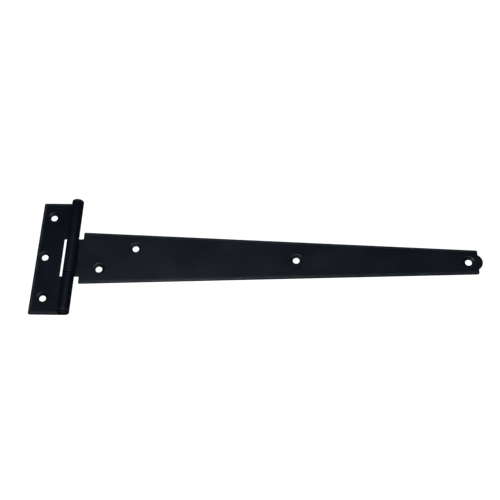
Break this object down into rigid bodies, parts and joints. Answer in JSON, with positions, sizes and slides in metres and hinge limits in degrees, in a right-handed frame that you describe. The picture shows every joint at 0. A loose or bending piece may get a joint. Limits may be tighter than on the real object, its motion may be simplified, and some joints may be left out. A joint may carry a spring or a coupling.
{
  "type": "t hinge",
  "caption": "Light tee hinge: upright cross plate and long tapered strap of pressed black-painted steel sheet, both rolled round a fixed pin, with countersunk screw holes.",
  "frame": {"origin": "on the plane of both leaves' back faces, straight behind the middle of the hinge pin, where the strap's flat back starts", "axes": "+X along the strap from the pin to its tip, +Y along the pin (up when the hinge hangs on a gate), +Z out of the countersunk front faces; the hinge is open flat, and the pin's axis is at x = 0, z = 0.00442"},
  "size_m": [0.3258, 0.0938, 0.0088],
  "materials": {
    "cross_plate_paint": "satin blue-black stove enamel on pressed steel sheet",
    "strap_paint": "satin blue-black stove enamel on pressed steel sheet",
    "pin_paint": "steel pin, its ends painted with the leaves"
  },
  "bodies": {
    "cross_plate": {"cross_plate": "cross_plate_paint", "pin": "pin_paint"},
    "strap": {"strap": "strap_paint"}
  },
  "joints": [
    {"name": "strap_swing", "type": "hinge", "parent": "cross_plate", "child": "strap", "pos_m": [0, 0, 0.00442], "axis": [0, -1, 0], "range_deg": [-113, 190]}
  ]
}
